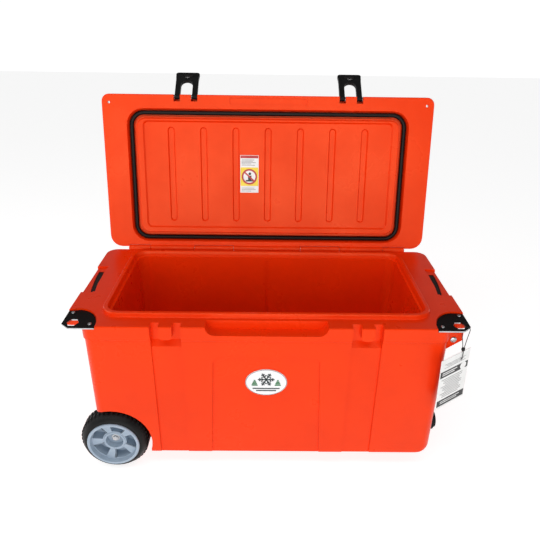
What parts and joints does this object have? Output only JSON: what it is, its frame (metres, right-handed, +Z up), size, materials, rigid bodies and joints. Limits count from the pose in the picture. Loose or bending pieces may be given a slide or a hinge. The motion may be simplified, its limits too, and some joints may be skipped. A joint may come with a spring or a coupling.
{
  "type": "wheeled cooler",
  "caption": "Hard insulated cooler box with hinged gasketed lid, rubber latches, end grips, swing-out tow handle, wheels at one end and a drain.",
  "frame": {"origin": "middle of the footprint on the floor, with the lid open and without the hang tag and its string", "axes": "+X along the length towards the tow handle, +Y to the rear where the hinge is, +Z up"},
  "size_m": [0.9081, 0.6112, 0.8643],
  "materials": {
    "orange_shell": "satin",
    "foam": "matte",
    "black_plastic": "satin",
    "black_rubber": "matte",
    "gasket_rubber": "satin",
    "latch_rubber": "satin",
    "tyre_rubber": "matte",
    "grey_plastic": "satin",
    "steel": "satin",
    "black_metal": "satin",
    "white_badge": "gloss",
    "paper_label": "satin",
    "black_cord": "matte",
    "card": "matte"
  },
  "bodies": {
    "cooler_body": {"body_shell": "orange_shell", "body_foam_core": "foam", "fill_plug_1": "black_plastic", "fill_plug_2": "black_plastic", "foot_pad_front": "black_rubber", "foot_pad_rear": "black_rubber", "oval_badge": "white_badge", "hinge_rod": "steel", "axle": "steel", "front_tow_bolt": "steel", "rear_tow_bolt": "steel", "drain_bush": "black_plastic", "drain_ring": "black_rubber", "tag_string": "black_cord", "tag_knot": "black_cord", "left_handle_grip": "black_rubber", "left_corner_plate": "black_metal", "left_plate_screw_1": "steel", "left_plate_screw_2": "steel", "right_handle_grip": "black_rubber", "right_corner_plate": "black_metal", "right_plate_screw_1": "steel", "right_plate_screw_2": "steel", "front_axle_bolt": "steel", "front_axle_washer": "steel", "rear_axle_bolt": "steel", "rear_axle_washer": "steel"},
    "lid": {"lid_shell": "orange_shell", "lid_foam_core": "foam", "lid_fill_plug": "black_plastic", "lid_gasket": "gasket_rubber", "care_label": "paper_label", "left_latch_pin": "steel", "right_latch_pin": "steel"},
    "left_latch": {"left_latch": "latch_rubber"},
    "right_latch": {"right_latch": "latch_rubber"},
    "front_wheel": {"front_wheel_rim": "grey_plastic", "front_tyre": "tyre_rubber"},
    "rear_wheel": {"rear_wheel_rim": "grey_plastic", "rear_tyre": "tyre_rubber"},
    "tow_handle": {"tow_handle_frame": "black_metal", "tow_handle_grip": "black_rubber"},
    "drain_cap": {"drain_cap": "black_plastic"},
    "hang_tag": {"tag_card": "card"}
  },
  "joints": [
    {"name": "lid_hinge", "type": "hinge", "parent": "cooler_body", "child": "lid", "pos_m": [0, 0.13416, 0.408], "axis": [1, 0, 0], "range_deg": [0, 100.4]},
    {"name": "left_latch_pivot", "type": "hinge", "parent": "lid", "child": "left_latch", "pos_m": [-0.22, 0.22311, 0.80954], "axis": [1, 0, 0], "range_deg": [0, 130]},
    {"name": "right_latch_pivot", "type": "hinge", "parent": "lid", "child": "right_latch", "pos_m": [0.22, 0.22311, 0.80954], "axis": [1, 0, 0], "range_deg": [0, 130]},
    {"name": "front_wheel_spin", "type": "hinge", "parent": "cooler_body", "child": "front_wheel", "pos_m": [-0.364, -0.25984, 0.081], "axis": [0, 1, 0], "continuous": true},
    {"name": "rear_wheel_spin", "type": "hinge", "parent": "cooler_body", "child": "rear_wheel", "pos_m": [-0.364, 0.10016, 0.081], "axis": [0, 1, 0], "continuous": true},
    {"name": "tow_handle_swing", "type": "hinge", "parent": "cooler_body", "child": "tow_handle", "pos_m": [0.412, -0.07984, 0.371], "axis": [0, -1, 0], "range_deg": [0, 92]},
    {"name": "drain_cap_turn", "type": "hinge", "parent": "cooler_body", "child": "drain_cap", "pos_m": [0.415, -0.20884, 0.094], "axis": [1, 0, 0], "range_deg": [0, 720]},
    {"name": "hang_tag_swing", "type": "hinge", "parent": "cooler_body", "child": "hang_tag", "pos_m": [0.4313, -0.28284, 0.332], "axis": [0, 0, 1], "range_deg": [-20, 30]}
  ]
}
